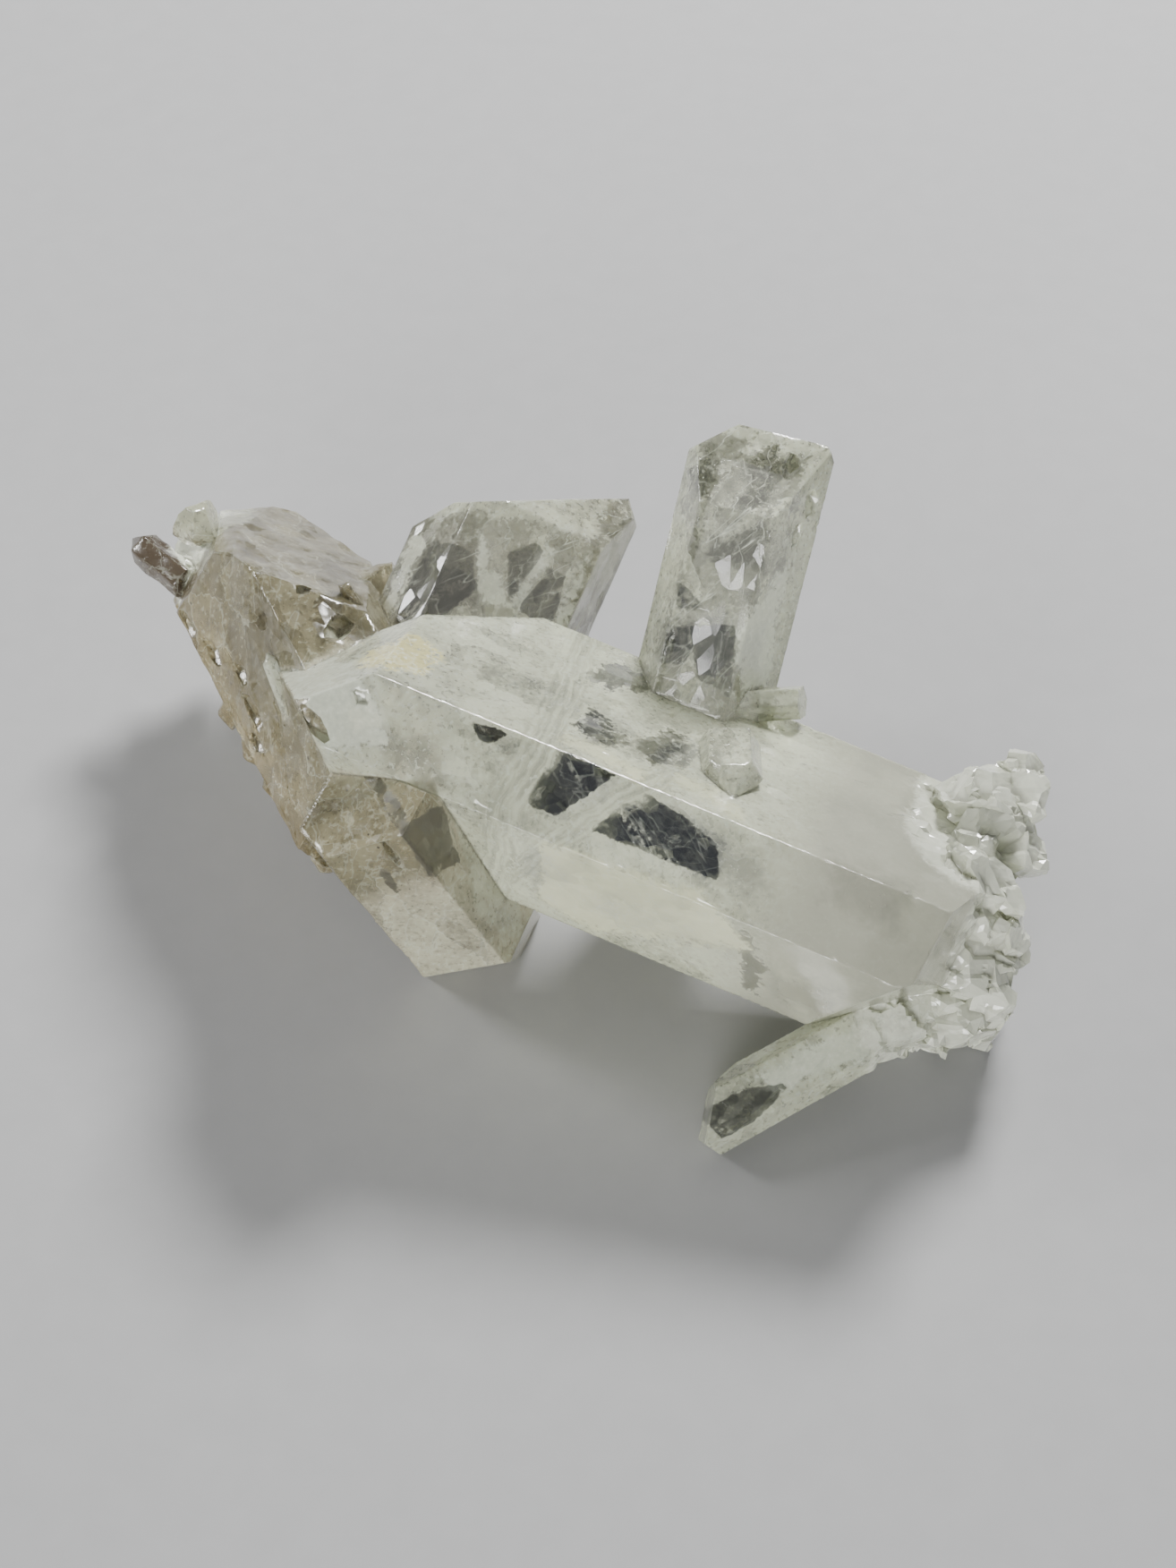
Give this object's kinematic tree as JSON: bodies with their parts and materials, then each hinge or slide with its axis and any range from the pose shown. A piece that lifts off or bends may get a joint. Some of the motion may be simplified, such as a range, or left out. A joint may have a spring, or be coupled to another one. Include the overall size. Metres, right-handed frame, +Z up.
{
  "type": "quartz cluster",
  "caption": "Cluster of clear, milky and smoky quartz crystals grown together round a long main crystal, with a rough white broken end, resting on its lower crystals.",
  "frame": {"origin": "middle of the bounding box, on the surface the cluster rests on", "axes": "+Z up, +X from the smoky crystal to the rough broken end along the longest side, +Y away from the front"},
  "size_m": [0.073, 0.0576, 0.0315],
  "materials": {
    "quartz": "glossy crystal faces, partly clear, partly milky, smoky brown at one end"
  },
  "bodies": {
    "root": {"quartz_cluster": "quartz"}
  },
  "joints": []
}
